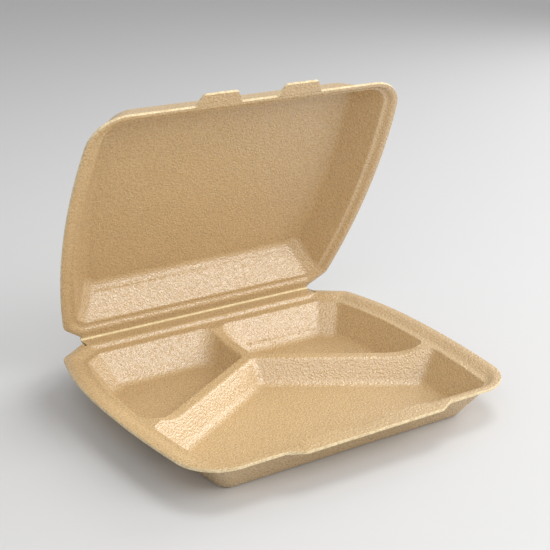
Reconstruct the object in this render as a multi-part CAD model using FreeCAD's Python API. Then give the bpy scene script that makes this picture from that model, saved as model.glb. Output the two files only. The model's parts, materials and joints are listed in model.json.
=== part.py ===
import FreeCAD, Part
import os
from math import sin, cos, tan, radians, atan2, sqrt
from FreeCAD import Vector

# Foam meal box with three pockets, moulded from one sheet and folded at a crease
# along the back. Lengths in millimetres, angles in degrees.
# Each half is drawn mouth up with the fold line on the X axis, the rim plane at
# z = 0, the front towards -Y and the pockets going down, and is then put in place.
# Insets are given as (back, slanted rear corners, sides, front), inwards from the rim.

# the sheet
SHEET = 2.0                 # thickness of the foam
CREASE_WEB = 0.7            # thickness left where the sheet is crushed to a hinge
CREASE_LAND = 1.6           # width of the crushed strip on each side
CREASE_GAP = 0.15           # from the fold line to the edge of each half
CREASE_IN = 29.5            # from the widest point of the tray in to the end of the crease
RIM_GAP = 0.3               # between the two rims when the box is closed

# tray, seen from above; its sides bow out to a widest point, the belly
TRAY_HALF = 120.8           # half width at the belly
TRAY_BELLY = 86.0           # from the fold line to the belly
TRAY_DEEP = 206.0           # from the fold line to the front rim
TRAY_HIGH = 26.0            # from the floor to the rim
TRAY_NOTCH = 5.0            # small notch at each end of the crease
TRAY_SHOULDER = (8.1, 21.5)     # slanted corner to side: in from the belly, and from the fold
TRAY_FRONT_IN = 11.4        # how much narrower each side is at the front, before rounding
TRAY_CORNER = 28.0          # rounding of the front corners
SHOULDER_ROUND = 8.0        # rounding of the shoulders of both halves

# front lip of the tray, with a swelling behind it where each locking tab rests
LIP_OUT = 5.6               # how far the lip stands out
LIP_HALF_FOOT = 58.0        # half its length where it leaves the rim
LIP_HALF_TIP = 48.0         # half its length at its outer edge
LIP_ROUND = 6.0
SEAT_IN = 3.0               # how far the swelling reaches into the tray
SEAT_HALF = 19.0            # half its length
SEAT_DRAFT = 10.0

# step below the rim of the tray, and the top of the wall below it
STEP_DEEP = 3.0
STEP_TOP = (12.0, 4.5, 4.5, 4.5)
STEP_FOOT = (14.0, 11.0, 11.0, 7.0)
WALL_TOP = (20.5, 15.0, 15.0, 9.0)
WALL_DRAFT = (33.0, 38.0, 33.0, 33.0)

# lid
LID_IN = 5.4                # how much narrower than the tray it is on each side
LID_SHORT = 16.5            # how much shorter than the tray
LID_HIGH = 24.8
LID_BELLY = 110.0
LID_NOTCH = 2.5
LID_SHOULDER = (10.6, 13.7)
LID_FRONT_IN = 7.8
LID_CORNER = 24.2
LID_STEP_DEEP = 2.5
LID_STEP_TOP = (8.0, 3.5, 3.5, 3.0)
LID_STEP_FOOT = (10.0, 7.0, 7.0, 4.5)
LID_WALL_TOP = (13.0, 10.0, 10.0, 6.5)
LID_WALL_DRAFT = (38.0, 44.0, 36.0, 26.0)
LID_LEDGE_ROUND = 2.0       # rounding of the edge from the ledge to the lid's wall
LID_OPEN = 62.4             # lid's angle from closed, as it stands

# locking tabs on the front edge of the lid
TAB_X = 28.5                # middle of each tab and of the seat it rests on
TAB_OUT = 8.4
TAB_HALF_FOOT = 16.0
TAB_HALF_TIP = 11.5
TAB_ROUND = 2.6

# rounding in the pockets and the lid; corners are for the inner skin
FLOOR_ROUND = 7.0           # floor edge, inside
FOOT_ROUND = 4.0            # the same edge, outside
CORNER_FRONT = 8.0          # front corners of the tray
LID_CORNER_FRONT = 17.0     # front corners of the lid
CORNER_REAR = 8.0           # slanted rear corners
CORNER_STEM = 14.0          # where the stem runs into the back
CORNER_ARM = 10.8           # where the back of an arm runs into the side
CORNER_FORK = 7.0           # where the dividers meet each other

# Y-shaped divider, hollow underneath
DIVIDER_FALL = 5.0          # crest below the ledge
CREST_HALF = 4.0            # half width of the crest
CREST_ROUND = 2.6
DIVIDER_DRAFT = 28.0
ARM_ANGLE = 32.0            # angle of each arm to the crease
FORK_SHARE = 0.33           # place of the fork, as a share of the tray's depth
RAMP_SIDE_IN = 24.8         # from the belly in to where the crest has risen to the ledge
RAMP_BACK = 24.0            # from the fold to the same place on the stem
RAMP_LONG = 20.0            # length of the rise
SADDLE_PAST = 4.5           # how far the low part reaches past the ends of the arms
SADDLE_BACK = 4.0           # from its back edge to the foot of the stem's rise
STEM_REACH = 30.0           # half width of the low part over the stem

# helpers' sizes and limits
BIG = 600.0                 # larger than the whole box
OVER = 1.5                  # how far cutting bodies stand above what they cut
NEAR = 0.01                 # lengths closer than this are the same
SMOOTH = 3.0                # faces that meet at a smaller angle are smooth

FRONT_FROM = 0.8 * TRAY_DEEP    # the front corners lie beyond this distance from the fold
REAR_TO = 0.3 * TRAY_DEEP       # the slanted rear corners lie before this one
MIDDLE = TRAY_HALF / 4          # half width of the strip with the stem and the fork
OUTER = TRAY_HALF / 2           # the corners at the sides lie beyond this half width
CREASE_HALF = TRAY_HALF - CREASE_IN
FORK_Y = -FORK_SHARE * TRAY_DEEP
LEDGE_Z = -STEP_DEEP
CREST_Z = LEDGE_Z - DIVIDER_FALL
UP = Vector(0, 0, 1)


class Plan:
    """Plan of one half: slanted rear corners, bowed sides and a straight front.

    Each side is two arcs that meet at its widest point, the belly."""

    def __init__(self, half, belly, notch, shoulder, front_in, deep):
        self.notch, self.deep = notch, deep
        self.belly = Vector(half, -belly, 0)
        self.shoulder = Vector(half - shoulder[0], -shoulder[1], 0)
        self.slant = (self.shoulder - Vector(CREASE_HALF, -notch, 0)).normalize()
        self.rear_bow = self.bow(self.shoulder)
        self.front_bow = self.bow(Vector(half - front_in, -deep, 0))

    def bow(self, end):
        """Centre and radius of the arc that runs straight back from the belly to an end."""
        reach = self.belly - end
        radius = reach.Length ** 2 / (2 * reach.x)
        return self.belly - Vector(radius, 0, 0), radius

    def corners(self, inset):
        """Corners of the right half, moved inwards: back, shoulder, belly and front."""
        back, slant, side, front = inset
        start = self.shoulder + Vector(self.slant.y, -self.slant.x, 0) * slant
        centre, radius = self.rear_bow
        away = start - centre
        along = away.dot(self.slant)
        run = sqrt(along ** 2 - away.Length ** 2 + (radius - side) ** 2) - along
        rise = (-back - start.y) / self.slant.y
        front_centre, front_radius = self.front_bow
        front_y = front - self.deep
        front_x = front_centre.x + sqrt((front_radius - side) ** 2 - (front_y - front_centre.y) ** 2)
        return (start + self.slant * rise, start + self.slant * run,
                self.belly - Vector(side, 0, 0), Vector(front_x, front_y, 0))

    def wire(self, inset, z, start=None):
        """Closed outline at height z, corners still sharp."""
        def mirrored(p, hand):
            return Vector(hand * p.x, p.y, z)

        def arc(bow, p, q, hand):
            centre, radius = bow
            middle = centre + ((p + q) / 2 - centre).normalize() * (radius - inset[2])
            return Part.Arc(*[mirrored(point, hand) for point in (p, middle, q)]).toShape()

        back, shoulder, belly, front = self.corners(inset)
        rear = start or back
        edges = [Part.makeLine(mirrored(p, -1), mirrored(p, 1)) for p in (rear, front)]
        for hand in (1, -1):
            if start:
                edges.append(Part.makeLine(mirrored(start, hand), mirrored(back, hand)))
            edges.append(Part.makeLine(mirrored(back, hand), mirrored(shoulder, hand)))
            edges.append(arc(self.rear_bow, shoulder, belly, hand))
            edges.append(arc(self.front_bow, belly, front, hand))
        return Part.Wire(Part.__sortEdges__(edges))


def behind(point, normal):
    """Everything behind a plane."""
    block = Part.makeBox(BIG, BIG, BIG, Vector(-BIG / 2, -BIG / 2, -BIG))
    block.Placement = FreeCAD.Placement(point, FreeCAD.Rotation(UP, normal))
    return block


def bowed_sides(plan, side, draft, z_wall, z_top, z_foot):
    """Room between the two bowed sides: a pair of cones behind the belly and one before it."""
    def pair(bow):
        centre, radius = bow
        foot, top = [radius - side - (z_wall - z) * tan(radians(draft)) for z in (z_foot, z_top)]
        right, left = [Part.makeCone(foot, top, z_top - z_foot, Vector(x, centre.y, z_foot))
                       for x in (centre.x, -centre.x)]
        return right.common(left)

    return pair(plan.rear_bow).common(behind(plan.belly, Vector(0, -1, 0))).fuse(
        pair(plan.front_bow).common(behind(plan.belly, Vector(0, 1, 0)))).removeSplitter()


def room(plan, wall_top, draft, z_wall, z_top, z_foot, off):
    """Sloped room whose walls stand off outside the insets wall_top, which hold at z_wall."""
    back, slant, side, front = wall_top
    space = bowed_sides(plan, side - off / cos(radians(draft[2])), draft[2], z_wall, z_top, z_foot)
    turn = plan.slant
    walls = [(Vector(0, -back, 0), Vector(0, 1, 0), draft[0]),
             (Vector(0, front - plan.deep, 0), Vector(0, -1, 0), draft[3])]
    for hand in (1, -1):
        out = Vector(hand * -turn.y, turn.x, 0)
        corner = Vector(hand * plan.shoulder.x, plan.shoulder.y, 0)
        walls.append((corner - out * slant, out, draft[1]))
    for point, out, angle in walls:
        lean = out * cos(radians(angle)) - UP * sin(radians(angle))
        space = space.common(behind(point + UP * z_wall + lean * off, lean))
    return space.Solids[0]


def beside(side, off):
    """Space on one side of a divider through the fork, up to its drafted flank."""
    lean = side * -cos(radians(DIVIDER_DRAFT)) - UP * sin(radians(DIVIDER_DRAFT))
    crest_edge = Vector(0, FORK_Y, CREST_Z) + side * CREST_HALF
    return behind(crest_edge + lean * off, lean)


def arm_side(hand, front):
    """Direction away from the arm on one hand, to its front or its back."""
    sway = sin(radians(ARM_ANGLE)) * hand
    rise = cos(radians(ARM_ANGLE))
    return Vector(-sway, -rise, 0) if front else Vector(sway, rise, 0)


def rises(edge):
    """Height that an edge climbs."""
    return abs(edge.Vertexes[0].Z - edge.Vertexes[-1].Z)


def flat_at(solid, z):
    """Edges lying flat at height z."""
    return [e for e in solid.Edges if rises(e) < NEAR
            and abs(e.Vertexes[0].Z - z) < NEAR and abs(e.CenterOfMass.z - z) < NEAR]


def is_sharp(solid, edge):
    """True where the two faces at an edge meet at an angle."""
    middle = edge.valueAt((edge.FirstParameter + edge.LastParameter) / 2)
    normals = [f.normalAt(*f.Surface.parameter(middle)) for f in solid.ancestorsOfType(edge, Part.Face)]
    return len(normals) > 1 and normals[0].getAngle(normals[1]) > radians(SMOOTH)


def rounded(solid, places, climb):
    """Round the sharp rising edges that reach up by climb; places are (test, radius)."""
    for test, radius in places:
        edges = [e for e in solid.Edges if rises(e) > climb and is_sharp(solid, e)
                 and test(abs(e.CenterOfMass.x), e.CenterOfMass.y)]
        solid = solid.makeFillet(radius, edges)
    return solid


def at_front(x, y):
    return y < -FRONT_FROM


def at_rear(x, y):
    return x > OUTER and y > -REAR_TO


def at_stem(x, y):
    return x < MIDDLE and y > FORK_Y / 2


def at_fork(x, y):
    return x < MIDDLE and y < FORK_Y / 2


def arm_y(x):
    """Middle line of an arm."""
    return FORK_Y - x * tan(radians(ARM_ANGLE))


def at_arm_back(x, y):
    return x > OUTER and arm_y(x) < y < -REAR_TO


def at_arm_front(x, y):
    return x > OUTER and -FRONT_FROM < y < arm_y(x)


def smooth_wire(plan, inset, z, corner, shoulder):
    """Closed outline at height z with its corners rounded."""
    slab = Part.Face(plan.wire(inset, z)).extrude(UP)
    slab = rounded(slab, [(at_front, corner), (at_rear, shoulder)], UP.z / 2)
    return [f for f in slab.Faces if abs(f.CenterOfMass.z - z) < NEAR][0].OuterWire


def step(plan, top, foot, deep, corner, off):
    """Room of the shallow step below the rim."""
    wires = []
    for inset, z in ((top, 0), (foot, -deep - off)):
        inset = [w - off for w in inset]
        wires.append(smooth_wire(plan, inset, z, corner - inset[2], SHOULDER_ROUND))
    return Part.makeLoft(wires, True, True)


def trough(end, start, span, off):
    """Low crest seen along the fold: flat from start, then curving up to the ledge."""
    bend = (RAMP_LONG ** 2 + DIVIDER_FALL ** 2) / (2 * DIVIDER_FALL)
    turn = atan2(RAMP_LONG, bend - DIVIDER_FALL)
    low, high, top = CREST_Z - off, LEDGE_Z - off, 0
    foot = end - RAMP_LONG

    def at(x, z):
        return Vector(x, 0, z)

    halfway = at(foot + bend * sin(turn / 2), low + bend * (1 - cos(turn / 2)))
    lines = [Part.makeLine(at(start, top), at(start, low)), Part.makeLine(at(start, low), at(foot, low)),
             Part.Arc(at(foot, low), halfway, at(end, high)).toShape(),
             Part.makeLine(at(end, high), at(end, top)), Part.makeLine(at(end, top), at(start, top))]
    return Part.Face(Part.Wire(lines)).extrude(Vector(0, span, 0))


def saddle(off):
    """Room over the dividers that brings their crest below the ledge."""
    front_y, back_y = arm_y(TRAY_HALF) - SADDLE_PAST, -RAMP_BACK - RAMP_LONG - SADDLE_BACK
    right = trough(TRAY_HALF - RAMP_SIDE_IN, 0, back_y - front_y, off)
    right.translate(Vector(0, front_y, 0))
    stem = trough(-RAMP_BACK, back_y - RAMP_LONG / 2, 2 * STEM_REACH, off)
    stem.rotate(Vector(0, 0, 0), UP, 90)
    stem.translate(Vector(STEM_REACH, 0, 0))
    return right.fuse([right.mirror(Vector(0, 0, 0), Vector(1, 0, 0)), stem]).removeSplitter()


def tray_room(off):
    """The three pockets, the low crest and the step; off leads to the outer skin."""
    floor_z = SHEET - TRAY_HIGH - off
    top_z = -SHEET / 2 if off else OVER
    whole = room(tray, WALL_TOP, WALL_DRAFT, LEDGE_Z, top_z, floor_z, off)
    whole = rounded(whole, [(at_front, CORNER_FRONT + off), (at_rear, CORNER_REAR)], STEP_DEEP)
    space = whole.common(beside(arm_side(-1, True), off)).common(beside(arm_side(1, True), off))
    for hand in (-1, 1):
        rear = whole.common(beside(Vector(hand, 0, 0), off)).common(beside(arm_side(hand, False), off))
        space = space.fuse(rounded(rear.Solids[0], [(at_stem, CORNER_STEM + off)], STEP_DEEP))
    space = space.fuse(saddle(off)).fuse(step(tray, STEP_TOP, STEP_FOOT, STEP_DEEP, TRAY_CORNER, off))
    space = rounded(space.removeSplitter().Solids[0], [
        (at_arm_back, CORNER_ARM + off), (at_fork, CORNER_FORK + off), (at_arm_front, CORNER_FORK + off)],
        TRAY_HIGH / 2)
    space = space.makeFillet(FOOT_ROUND if off else FLOOR_ROUND, flat_at(space, floor_z))
    if off:
        return space
    crest = [e for e in space.Edges if CREST_Z - NEAR < e.CenterOfMass.z < LEDGE_Z - NEAR
             and is_sharp(space, e)]
    return space.makeFillet(CREST_ROUND, crest)


def lid_room(off):
    """The lid's hollow and the step below its rim."""
    floor_z = SHEET - LID_HIGH - off
    top_z = -SHEET / 2 if off else OVER
    hollow = room(lid, LID_WALL_TOP, LID_WALL_DRAFT, -LID_STEP_DEEP, top_z, floor_z, off)
    hollow = rounded(hollow, [(at_front, LID_CORNER_FRONT + off), (at_rear, CORNER_REAR)], STEP_DEEP)
    hollow = hollow.makeFillet(FOOT_ROUND if off else FLOOR_ROUND, flat_at(hollow, floor_z))
    return hollow.fuse(step(lid, LID_STEP_TOP, LID_STEP_FOOT, LID_STEP_DEEP, LID_CORNER, off))


def tongue(x_mid, half_foot, half_tip, deep, out, foot_round, tip_round):
    """Flat tongue standing out of the front rim, with sloped ends."""
    side = half_foot + 2 * foot_round
    right = [(side, out - deep), (side, -deep), (half_foot, -deep), (half_tip, -deep - out)]
    points = right + [(-x, y) for x, y in reversed(right)]
    outline = [Vector(x_mid + x, y, 0) for x, y in points + points[:1]]
    flat = Part.Face(Part.makePolygon(outline)).extrude(Vector(0, 0, -SHEET))
    for y, radius in ((-deep, foot_round), (-deep - out, tip_round)):
        edges = [e for e in flat.Edges if rises(e) > SHEET / 2 and abs(e.CenterOfMass.y - y) < NEAR
                 and abs(e.CenterOfMass.x - x_mid) < half_foot + NEAR]
        flat = flat.makeFillet(radius, edges)
    return flat


def rim(plan, corner, tongues):
    """Flat rim sheet with its tongues, thinned along the crease."""
    sheet = Part.Face(plan.wire((plan.notch, 0, 0, 0), 0, Vector(CREASE_HALF, -CREASE_GAP, 0)))
    sheet = sheet.extrude(Vector(0, 0, -SHEET))

    def at_shoulder(x, y):
        return at_rear(x, y) and x > CREASE_HALF + OVER

    sheet = rounded(sheet, [(at_front, corner), (at_shoulder, SHOULDER_ROUND)], SHEET / 2)
    sheet = sheet.fuse(tongues).removeSplitter()
    slope = SHEET - CREASE_WEB
    cut = [(-CREASE_LAND, -CREASE_WEB), (OVER, -CREASE_WEB), (OVER, -SHEET - OVER),
           (-CREASE_LAND - slope - OVER, -SHEET - OVER)]
    profile = [Vector(-BIG / 2, y, z) for y, z in cut + cut[:1]]
    return sheet.cut(Part.Face(Part.makePolygon(profile)).extrude(Vector(BIG, 0, 0)))


def seat(x):
    """Swelling behind the lip on which one locking tab rests."""
    radius = (SEAT_HALF ** 2 + SEAT_IN ** 2) / (2 * SEAT_IN)
    crest_y = -TRAY_DEEP + STEP_TOP[3] + SEAT_IN
    grow = STEP_DEEP * tan(radians(SEAT_DRAFT))
    cone = Part.makeCone(radius + grow, radius, STEP_DEEP, Vector(x, crest_y - radius, LEDGE_Z))
    keep = Part.makeBox(2 * SEAT_HALF, STEP_TOP[3] + SEAT_IN, STEP_DEEP,
                        Vector(x - SEAT_HALF, -TRAY_DEEP + STEP_TOP[3] - SHEET, LEDGE_Z))
    return cone.common(keep)


def soften(body, ledge_z, radius):
    """Round the edge from the ledge down to the wall."""
    def meets_wall(edge):
        return min(f.CenterOfMass.z for f in body.ancestorsOfType(edge, Part.Face)) < 2 * ledge_z

    edges = [e for e in flat_at(body, ledge_z) if is_sharp(body, e) and meets_wall(e)]
    return body.makeFillet(radius, edges)


tray = Plan(TRAY_HALF, TRAY_BELLY, TRAY_NOTCH, TRAY_SHOULDER, TRAY_FRONT_IN, TRAY_DEEP)
lid = Plan(TRAY_HALF - LID_IN, LID_BELLY, LID_NOTCH, LID_SHOULDER, LID_FRONT_IN, TRAY_DEEP - LID_SHORT)

lip = tongue(0, LIP_HALF_FOOT, LIP_HALF_TIP, TRAY_DEEP, LIP_OUT, LIP_ROUND, LIP_ROUND)
tray_body = rim(tray, TRAY_CORNER, [lip]).fuse(tray_room(SHEET)).cut(tray_room(0))
tray_body = tray_body.fuse([seat(-TAB_X), seat(TAB_X)]).removeSplitter()

tabs = [tongue(x, TAB_HALF_FOOT, TAB_HALF_TIP, lid.deep, TAB_OUT, TAB_ROUND / 2, TAB_ROUND)
        for x in (-TAB_X, TAB_X)]
lid_body = rim(lid, LID_CORNER, tabs).fuse(lid_room(SHEET)).cut(lid_room(0)).removeSplitter()

lid_body = soften(lid_body, -LID_STEP_DEEP, LID_LEDGE_ROUND)

hinge = Vector(0, TRAY_DEEP / 2, TRAY_HIGH)
tray_body.translate(hinge)
lid_body.rotate(Vector(0, 0, 0), Vector(0, 1, 0), 180)
lid_body.translate(Vector(0, 0, RIM_GAP))
lid_body.rotate(Vector(0, 0, 0), Vector(1, 0, 0), -LID_OPEN)
lid_body.translate(hinge)

os.makedirs("parts", exist_ok=True)
tray_body.exportStep("parts/tray.step")
lid_body.exportStep("parts/lid.step")
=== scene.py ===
import bpy
import json
from math import cos, radians, sin
from mathutils import Matrix, Vector


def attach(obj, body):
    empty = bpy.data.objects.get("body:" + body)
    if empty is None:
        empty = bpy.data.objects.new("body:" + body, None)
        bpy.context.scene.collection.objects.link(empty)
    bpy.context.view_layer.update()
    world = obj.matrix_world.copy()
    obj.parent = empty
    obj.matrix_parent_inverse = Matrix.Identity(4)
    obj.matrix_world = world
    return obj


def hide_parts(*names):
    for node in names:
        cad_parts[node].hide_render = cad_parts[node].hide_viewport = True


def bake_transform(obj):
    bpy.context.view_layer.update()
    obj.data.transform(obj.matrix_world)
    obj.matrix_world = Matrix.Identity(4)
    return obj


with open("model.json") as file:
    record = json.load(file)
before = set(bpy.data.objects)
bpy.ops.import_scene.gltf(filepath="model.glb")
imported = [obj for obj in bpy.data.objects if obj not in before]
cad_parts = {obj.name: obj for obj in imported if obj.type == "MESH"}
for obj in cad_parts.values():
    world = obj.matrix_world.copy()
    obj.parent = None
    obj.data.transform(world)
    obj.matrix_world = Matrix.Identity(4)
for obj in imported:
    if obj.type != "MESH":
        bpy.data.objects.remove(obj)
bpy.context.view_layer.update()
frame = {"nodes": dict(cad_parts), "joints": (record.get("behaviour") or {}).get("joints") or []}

# Foam meal box: tray with pockets and hollow dividers, lid on a crushed crease.
# Lengths in metres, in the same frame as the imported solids: x to the right, y to the back, z up.

MM = 0.001
crease_joint = frame["joints"][0]
FOLD = Vector(crease_joint["pos_m"])                    # middle of the fold line
OPENING = radians(-crease_joint["range_deg"][0])        # lid's angle from closed
SHEET = 2.0 * MM                                        # thickness of the foam

# Directions of the tray: away from the fold along its rim, and from its rim to its floor.
TRAY_ALONG = Vector((0, -1, 0))
TRAY_DOWN = Vector((0, 0, -1))

# Directions of the lid as it stands: away from the fold along its rim, and out through its back.
LID_ALONG = Vector((0, -cos(OPENING), sin(OPENING)))
LID_OUT = Vector((0, sin(OPENING), cos(OPENING)))

# How deep below the rim each half's ledge lies, how far its inner rear wall leans, and how deep
# below the rim the line pressed into that wall lies.
TRAY_LEDGE, TRAY_DRAFT, TRAY_LINE = 3.0 * MM, radians(33), 18.4 * MM
LID_LEDGE, LID_DRAFT, LID_LINE = 2.5 * MM, radians(38), 17.6 * MM
LINE_HALF = 1.1 * MM                                    # half width of the pressed line
LINE_DEEP = 0.6 * MM

# Crease: the crushed web over the small gap that parts the two solids.
RIM_GAP = 0.3 * MM                                      # between the rims when closed
CREASE_WEB = 0.7 * MM                                   # crushed foam left at the fold
CREASE_HALF = 91.3 * MM                                 # half the length of the crease
WEB_REACH = 1.2 * MM                                    # how far the web reaches onto each rim
WEB_TURN = 0.35 * MM                                    # where it leaves the rim to bend
WEB_PROUD = 0.03 * MM                                   # how far it stands out of the rim
WEB_SLACK = 0.15 * MM                                   # how far its middle sags outwards

# Rolled edges: their depth below the rim (None is the ledge's), 1 for those at the foot of a
# slope, -1 for those at its head or 0 for both, least and most turn in degrees, shortest edge,
# width and number of facets.
ROLLS = ((0, 0, 12, 75, 0, 1.6 * MM, 4),
         (0, 0, 75, 100, 0, 0.3 * MM, 2),
         (SHEET, 0, 75, 100, 0, 0.3 * MM, 2),
         (None, 1, 12, 75, 0, 1.3 * MM, 3),
         (None, -1, 40, 75, 5 * MM, 0.8 * MM, 3))
FOLD_REACH = 6 * MM                                     # edges nearer to the fold stay sharp
NEAR = 0.02 * MM                                        # closer than this counts as on the level
MERGE = 0.002 * MM                                      # loose corners closer than this are one
SAME_WAY = 0.999                                        # cosine for faces of one flat wall
UPRIGHT = 0.2                                           # how far a trimmed face may lean
HALF_SMOOTH, WEB_SMOOTH = radians(32), radians(50)      # edges that turn less are shaded smooth


# Material helpers

class Value:
    """A number or colour in a material; plain arithmetic on it adds the nodes."""

    def __init__(self, finish, socket):
        self.finish, self.socket = finish, socket

    def sums(self, operation, first, second):
        return self.finish.add("ShaderNodeMath", {"operation": operation}, {0: first, 1: second})

    def __add__(self, other):
        return self.sums("ADD", self, other)

    def __radd__(self, other):
        return self.sums("ADD", other, self)

    def __sub__(self, other):
        return self.sums("SUBTRACT", self, other)

    def __rsub__(self, other):
        return self.sums("SUBTRACT", other, self)

    def __mul__(self, other):
        return self.sums("MULTIPLY", self, other)

    def __rmul__(self, other):
        return self.sums("MULTIPLY", other, self)

    def over(self, low, high):
        """0 below low, 1 above high, a smooth step between them; low may be the larger."""
        return self.finish.add("ShaderNodeMapRange", {"interpolation_type": "SMOOTHSTEP"},
                               {"Value": self, "From Min": low, "From Max": high})


class Finish:
    """A material being built."""

    def __init__(self, name):
        self.material = bpy.data.materials.new(name)
        self.material.use_nodes = True
        self.tree = self.material.node_tree
        self.tree.nodes.clear()

    def add(self, kind, settings=None, inputs=None, output=0):
        """Add one node, set it up, and give back one of its outputs."""
        node = self.tree.nodes.new(kind)
        for name, setting in (settings or {}).items():
            setattr(node, name, setting)
        for name, given in (inputs or {}).items():
            if isinstance(given, Value):
                self.tree.links.new(given.socket, node.inputs[name])
            else:
                node.inputs[name].default_value = given
        return Value(self, node.outputs[output])

    def mix(self, share, first, second):
        """Colour first where share is 0 and second where it is 1."""
        node = self.tree.nodes.new("ShaderNodeMix")
        node.data_type = "RGBA"
        sockets = [s for s in node.inputs if s.type == "RGBA"]
        for socket, given in zip([node.inputs["Factor"]] + sockets, (share, first, second)):
            if isinstance(given, Value):
                self.tree.links.new(given.socket, socket)
            else:
                socket.default_value = given
        return Value(self, [s for s in node.outputs if s.type == "RGBA"][0])

    def ends(self, shader):
        """Close the material with its shader."""
        surface = self.tree.nodes.new("ShaderNodeOutputMaterial")
        self.tree.links.new(shader.socket, surface.inputs["Surface"])
        return self.material


# Foam

FOAM = (0.625, 0.448, 0.238, 1)             # moulded skin
FOAM_SHADE = (0.510, 0.350, 0.172, 1)       # painted shade in the skin's hollows, and its own darker patches
FOAM_CUT = (0.860, 0.720, 0.460, 1)         # bare foam where the sheet is trimmed
FOAM_CUT_SHADE = (0.540, 0.410, 0.230, 1)
# Both colours of the fold are paler than the bare foam: partly crushed foam, partly a painted
# highlight along the fold.
FOAM_CRUSHED_AND_HIGHLIGHT = (0.930, 0.840, 0.600, 1)     # foam pressed thin at the fold, plus a painted highlight
FOAM_CRUSHED_AND_HIGHLIGHT_DARK = (0.760, 0.640, 0.410, 1)
PEBBLE = 1.35 * MM                          # size of one pebble of the skin
PEBBLE_HIGH = 0.40 * MM
RIPPLE = 5.0 * MM                           # slow unevenness of the skin
RIPPLE_HIGH = 0.08 * MM
CLOUD = 30 * MM                             # size of the paler and darker patches
SKIN_ROUGH, SKIN_ROUGH_MORE = 0.23, 0.10    # roughness, and what the grain adds to it
CELL = 0.9 * MM                             # open cells of the trimmed edge
CELL_HIGH = 0.12 * MM
TEAR = 3.0 * MM                             # unevenness of the trimmed edge
TEAR_HIGH = 0.3 * MM
CUT_ROUGH, CUT_ROUGH_MORE = 0.62, 0.10


def noise(finish, place, size, detail):
    """Soft random pattern with features of one size."""
    return finish.add("ShaderNodeTexNoise", {}, {
        "Vector": place, "Scale": 1 / size, "Detail": detail, "Roughness": 0.55})


def foam_skin(name):
    """Pebbled satin skin of the moulded foam."""
    finish = Finish(name)
    place = finish.add("ShaderNodeTexCoord", output="Object")
    pebbles = finish.add("ShaderNodeTexVoronoi", {"feature": "SMOOTH_F1"}, {
        "Vector": place, "Scale": 1 / PEBBLE, "Smoothness": 0.7, "Randomness": 1.0})
    grain = noise(finish, place, PEBBLE * 0.8, 1.0)
    ripple = noise(finish, place, RIPPLE, 1.0)
    cloud = noise(finish, place, CLOUD, 2.0)
    height = (1 - pebbles) * PEBBLE_HIGH + grain * PEBBLE_HIGH + ripple * RIPPLE_HIGH
    bump = finish.add("ShaderNodeBump", {}, {"Strength": 1.0, "Distance": 1.0, "Height": height})
    # Painted shade: darker where the pebbles and grain sink lowest in the bump; the cloud adds the
    # skin's own darker patches.
    pit_shade = pebbles.over(0.15, 0.75) * 0.6 + grain.over(0.62, 0.38) * 0.5
    shade = pit_shade + cloud.over(0.30, 0.70) * 0.15
    shader = finish.add("ShaderNodeBsdfPrincipled", {}, {
        "Base Color": finish.mix(shade, FOAM, FOAM_SHADE),
        "Roughness": SKIN_ROUGH + grain * SKIN_ROUGH_MORE,
        "Normal": bump, "IOR": 1.6, "Specular IOR Level": 1.0})
    return finish.ends(shader)


def bare_foam(name, light, dark):
    """Bare cells of the foam along its trimmed edge or its crushed fold."""
    finish = Finish(name)
    place = finish.add("ShaderNodeTexCoord", output="Object")
    cells = finish.add("ShaderNodeTexVoronoi", {"feature": "F1"}, {
        "Vector": place, "Scale": 1 / CELL, "Randomness": 1.0})
    tears = noise(finish, place, TEAR, 2.0)
    height = cells * CELL_HIGH + tears * TEAR_HIGH
    bump = finish.add("ShaderNodeBump", {}, {"Strength": 1.0, "Distance": 1.0, "Height": height})
    shade = cells.over(0.20, 0.70) * 0.6 + tears.over(0.35, 0.65) * 0.4
    shader = finish.add("ShaderNodeBsdfPrincipled", {}, {
        "Base Color": finish.mix(shade, light, dark),
        "Roughness": CUT_ROUGH + tears * CUT_ROUGH_MORE,
        "Normal": bump, "Specular IOR Level": 0.4})
    return finish.ends(shader)


# Moulded halves

def edges_to_round(mesh, depth, level, side, least, most, shortest):
    """Select the edges at one depth below the rim, as a row of ROLLS says."""
    faces = {}
    for face in mesh.polygons:
        for key in face.edge_keys:
            faces.setdefault(key, []).append(face)
    for edge in mesh.edges:
        beside = faces[edge.key]
        turn = beside[0].normal.angle(beside[1].normal)
        flat = all(abs(depth(mesh.vertices[i].co) - level) < NEAR for i in edge.vertices)
        foot = min(depth(face.center) for face in beside) < level - NEAR
        first, last = [mesh.vertices[i].co for i in edge.vertices]
        at_fold = max((first - FOLD).yz.length, (last - FOLD).yz.length) < FOLD_REACH
        edge.select = (flat and radians(least) < turn < radians(most) and not at_fold
                       and side in (0, 1 if foot else -1) and (first - last).length > shortest)


def select_none(kind="EDGE"):
    """Clear the selection of the mesh, ready to select edges or faces in code."""
    bpy.ops.object.mode_set(mode="EDIT")
    bpy.ops.mesh.select_mode(type=kind)
    bpy.ops.mesh.select_all(action="DESELECT")
    bpy.ops.object.mode_set(mode="OBJECT")


def press_line(mesh, depth, down, wall, level):
    """Press the mould's fine line into the inner rear wall, a little above the floor's round."""
    at_level = FOLD + down * (level - depth(FOLD))
    for offset in (-LINE_HALF, 0, LINE_HALF):
        select_none("FACE")
        for face in mesh.polygons:
            face.select = face.normal.dot(wall) > SAME_WAY
        bpy.ops.object.mode_set(mode="EDIT")
        bpy.ops.mesh.bisect(plane_co=at_level + down * offset, plane_no=down)
        bpy.ops.object.mode_set(mode="OBJECT")
    inside, beside = set(), set()
    for face in mesh.polygons:
        (inside if face.normal.dot(wall) > SAME_WAY else beside).update(face.vertices)
    for index in inside - beside:
        point = mesh.vertices[index].co
        if abs(depth(point) - level) < NEAR:
            mesh.vertices[index].co = point - wall * LINE_DEEP


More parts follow.
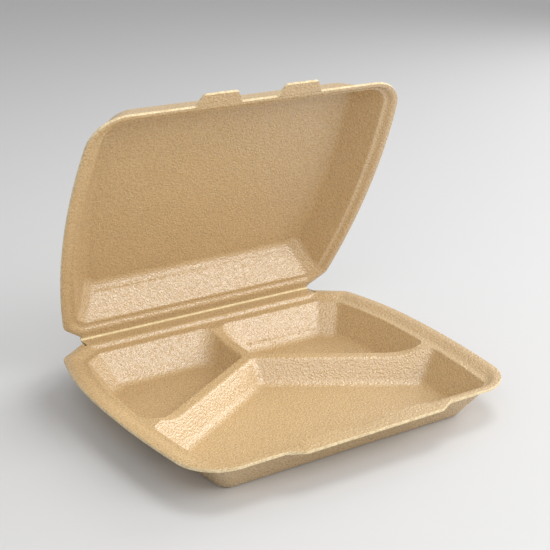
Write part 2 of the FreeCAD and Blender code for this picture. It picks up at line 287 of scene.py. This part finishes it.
def moulded_half(node, name, along, down, gap, ledge, draft, line):
    """One half of the box: its facets joined, its edges rolled, its trimmed edge bare, and a
    fine line in its rear wall.

    along and down are the half's directions, gap is how far its rim lies from the fold's plane,
    and ledge, draft and line are the half's own, as named above."""
    def depth(point):
        return (point - FOLD).dot(down) - gap

    half = frame["nodes"][node].copy()
    half.data = half.data.copy()
    half.name = half.data.name = name
    bpy.context.scene.collection.objects.link(half)
    for key in list(half.keys()):       # the frame's marks belong to the node, not to its copy
        del half[key]
    half.parent = None
    mesh = half.data
    bpy.ops.object.select_all(action="DESELECT")
    half.select_set(True)
    bpy.context.view_layer.objects.active = half
    if mesh.has_custom_normals:
        bpy.ops.mesh.customdata_custom_splitnormals_clear()
    bpy.ops.object.mode_set(mode="EDIT")
    bpy.ops.mesh.select_all(action="SELECT")
    bpy.ops.mesh.remove_doubles(threshold=MERGE)
    bpy.ops.object.mode_set(mode="OBJECT")

    mesh.materials.clear()
    mesh.materials.append(skin)
    mesh.materials.append(cut)
    for face in mesh.polygons:
        at_edge = NEAR < depth(face.center) < SHEET - NEAR
        face.material_index = 1 if at_edge and abs(face.normal.dot(down)) < UPRIGHT else 0

    for level, side, least, most, shortest, width, steps in ROLLS:
        select_none()
        level = ledge if level is None else level
        edges_to_round(mesh, depth, level, side, least, most, shortest)
        bpy.ops.object.mode_set(mode="EDIT")
        bpy.ops.mesh.bevel(offset=width, segments=steps, affect="EDGES", clamp_overlap=False)
        bpy.ops.object.mode_set(mode="OBJECT")
    press_line(mesh, depth, down, along * cos(draft) - down * sin(draft), line)
    bpy.ops.object.shade_smooth_by_angle(angle=HALF_SMOOTH)
    weigh = half.modifiers.new("weigh", "WEIGHTED_NORMAL")
    weigh.keep_sharp = True
    bpy.ops.object.modifier_apply(modifier="weigh")
    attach(half, node)
    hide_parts(node)


# Crease

def crease_strip(name):
    """Thin crushed web that joins the halves along the fold, pale with a painted highlight."""
    on_tray = FOLD - TRAY_DOWN * WEB_PROUD
    on_lid = FOLD + LID_OUT * (RIM_GAP - WEB_PROUD)
    outside = -(TRAY_ALONG + LID_ALONG).normalized()
    line = [on_tray + TRAY_ALONG * WEB_REACH, on_tray + TRAY_ALONG * WEB_TURN,
            FOLD + outside * WEB_SLACK,
            on_lid + LID_ALONG * WEB_TURN, on_lid + LID_ALONG * WEB_REACH]
    bpy.ops.object.select_all(action="DESELECT")
    bpy.ops.mesh.primitive_plane_add(size=1, location=(0, 0, 0))
    strip = bpy.context.active_object
    strip.name = strip.data.name = name
    for vertex in strip.data.vertices:
        hand = 1 if vertex.co.x > 0 else -1
        vertex.co = line[0 if vertex.co.y < 0 else 1] + Vector((hand * CREASE_HALF, 0, 0))
    for start, end in zip(line[1:], line[2:]):
        select_none()
        for edge in strip.data.edges:
            edge.select = all((strip.data.vertices[i].co - start).yz.length < NEAR
                              for i in edge.vertices)
        bpy.ops.object.mode_set(mode="EDIT")
        bpy.ops.mesh.extrude_region_move(TRANSFORM_OT_translate={"value": end - start})
        bpy.ops.object.mode_set(mode="OBJECT")
    thick = strip.modifiers.new("web", "SOLIDIFY")
    thick.thickness, thick.offset = CREASE_WEB, -1
    bpy.ops.object.modifier_apply(modifier="web")
    bpy.ops.object.shade_smooth_by_angle(angle=WEB_SMOOTH)
    # pale crushed foam with a painted highlight along the fold
    strip.data.materials.append(crushed_and_highlight)
    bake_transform(strip)


# Surroundings

FLOOR_GREY = (0.58, 0.58, 0.58, 1)
FLOOR_WIDE = 12.0
FLOOR_BELOW = 0.02 * MM             # under the tray, so that the two don't share a plane
SKY = 0.53                          # strength of the light from all round
SKY_SEEN = (0.86, 0.86, 0.86, 1)    # what the camera sees of it
LIT = Vector((0, 0, 60 * MM))       # place above the tray that the lamps point at

# Camera, fitted to the photograph; its figures are measured from the fold's middle.
CAM_AZ = radians(-31.8)             # from straight in front, towards the left
CAM_EL = radians(20.0)
CAM_ROLL = radians(-0.5)
CAM_DISTANCE = 828.8 * MM
CAM_SHIFT = (-53.5 * MM, -26.9 * MM)    # where the fold's middle lies from the view's axis
FRAME_PIXELS = 550
FOCAL_PIXELS = 1162.3
SENSOR = 36.0                       # width in millimetres, as Blender's cameras have it
SEES_FROM, SEES_TO = 0.01, 50


def pale_floor():
    """Plain pale floor under the box."""
    bpy.ops.mesh.primitive_plane_add(size=FLOOR_WIDE, location=(0, 0, -FLOOR_BELOW))
    floor = bpy.context.active_object
    floor.name = "floor"
    finish = Finish("pale_floor")
    shader = finish.add("ShaderNodeBsdfPrincipled", {}, {
        "Base Color": FLOOR_GREY, "Roughness": 0.6, "Specular IOR Level": 0.3})
    floor.data.materials.append(finish.ends(shader))


def soft_light(name, azimuth, elevation, distance, size, power):
    """Square soft light that points at the box.

    azimuth and elevation are in degrees, with azimuth 0 straight in front and larger to the
    right, distance and size are in metres, and power is in watts."""
    lamp = bpy.data.lights.new(name, "AREA")
    lamp.energy, lamp.size = power, size
    holder = bpy.data.objects.new(name, lamp)
    bpy.context.scene.collection.objects.link(holder)
    a, e = radians(azimuth), radians(elevation)
    away = Vector((sin(a) * cos(e), -cos(a) * cos(e), sin(e)))
    holder.location = LIT + away * distance
    holder.rotation_euler = away.to_track_quat("Z", "Y").to_euler()


def even_sky():
    """Even grey light from all round; the camera sees it pale."""
    world = bpy.data.worlds.new("sky")
    bpy.context.scene.world = world
    world.use_nodes = True
    nodes, links = world.node_tree.nodes, world.node_tree.links
    sky = nodes["Background"]
    sky.inputs["Color"].default_value = (1, 1, 1, 1)
    sky.inputs["Strength"].default_value = SKY
    seen = nodes.new("ShaderNodeBackground")
    seen.inputs["Color"].default_value = SKY_SEEN
    ray = nodes.new("ShaderNodeLightPath")
    either = nodes.new("ShaderNodeMixShader")
    links.new(ray.outputs["Is Camera Ray"], either.inputs[0])
    links.new(sky.outputs[0], either.inputs[1])
    links.new(seen.outputs[0], either.inputs[2])
    links.new(either.outputs[0], nodes["World Output"].inputs[0])


def camera():
    """Camera at the photograph's place."""
    back = Vector((sin(CAM_AZ) * cos(CAM_EL), -cos(CAM_AZ) * cos(CAM_EL), sin(CAM_EL)))
    right = Vector((cos(CAM_AZ), sin(CAM_AZ), 0))
    up = back.cross(right)
    turned_right = right * cos(CAM_ROLL) + up * sin(CAM_ROLL)
    turned_up = up * cos(CAM_ROLL) - right * sin(CAM_ROLL)
    eye = bpy.data.cameras.new("camera")
    eye.sensor_width = SENSOR
    eye.lens = FOCAL_PIXELS * SENSOR / FRAME_PIXELS
    eye.clip_start, eye.clip_end = SEES_FROM, SEES_TO
    holder = bpy.data.objects.new("camera", eye)
    bpy.context.scene.collection.objects.link(holder)
    shift_right, shift_up = CAM_SHIFT
    place = FOLD + back * CAM_DISTANCE - turned_right * shift_right - turned_up * shift_up
    turn = Matrix((turned_right, turned_up, back)).transposed().to_4x4()
    holder.matrix_world = Matrix.Translation(place) @ turn
    bpy.context.scene.camera = holder


skin = foam_skin("foam_skin")
cut = bare_foam("foam_cut", FOAM_CUT, FOAM_CUT_SHADE)
# pale crushed foam at the fold, lifted further by a painted highlight
crushed_and_highlight = bare_foam("foam_crushed_and_highlight", FOAM_CRUSHED_AND_HIGHLIGHT, FOAM_CRUSHED_AND_HIGHLIGHT_DARK)
moulded_half("tray", "tray_shell", TRAY_ALONG, TRAY_DOWN, 0, TRAY_LEDGE, TRAY_DRAFT, TRAY_LINE)
moulded_half("lid", "lid_shell", LID_ALONG, LID_OUT, RIM_GAP, LID_LEDGE, LID_DRAFT, LID_LINE)
crease_strip("crease_strip")

pale_floor()
even_sky()
soft_light("key", 36, 31, 1.6, 1.1, 16)
soft_light("fill", -33, 38, 1.8, 1.2, 9)
soft_light("side", 97, 18, 1.6, 1.1, 13)
soft_light("above", 70, 76, 1.5, 0.6, 7)
camera()

bpy.context.scene.view_settings.view_transform = "Standard"
